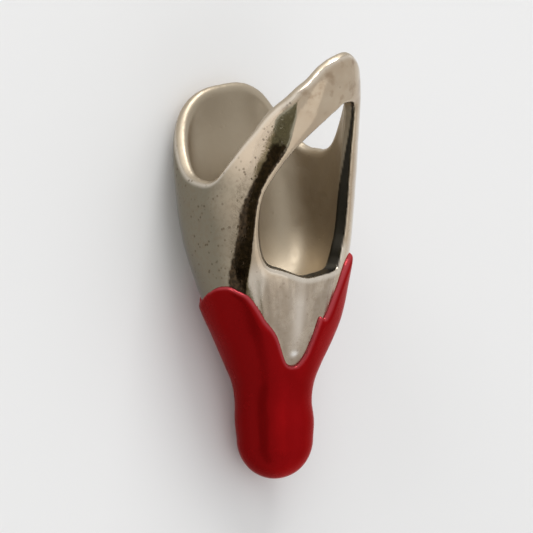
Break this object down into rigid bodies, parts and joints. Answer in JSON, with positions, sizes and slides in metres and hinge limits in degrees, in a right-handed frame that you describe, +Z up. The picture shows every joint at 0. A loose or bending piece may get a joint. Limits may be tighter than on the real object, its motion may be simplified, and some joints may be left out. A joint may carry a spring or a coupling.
{
  "type": "fang grill cap",
  "caption": "Gold grill cap for an upper canine tooth, with an open face, a scalloped gum edge and a long fang tip coated in a red enamel drip.",
  "frame": {"origin": "under the middle of the cap, on the surface that it lies on", "axes": "+Z up, the way the window on the lip side faces as the cap lies on its tongue side; +Y along the tooth towards the gum end; +X along the row of teeth, towards the back of the mouth"},
  "size_m": [0.007, 0.017, 0.0083],
  "materials": {
    "gold": "polished pale gold with fine casting pits and brush marks",
    "red_enamel": "glossy deep red enamel"
  },
  "bodies": {
    "root": {"gold_cap": "gold", "enamel_drip": "red_enamel"}
  },
  "joints": []
}
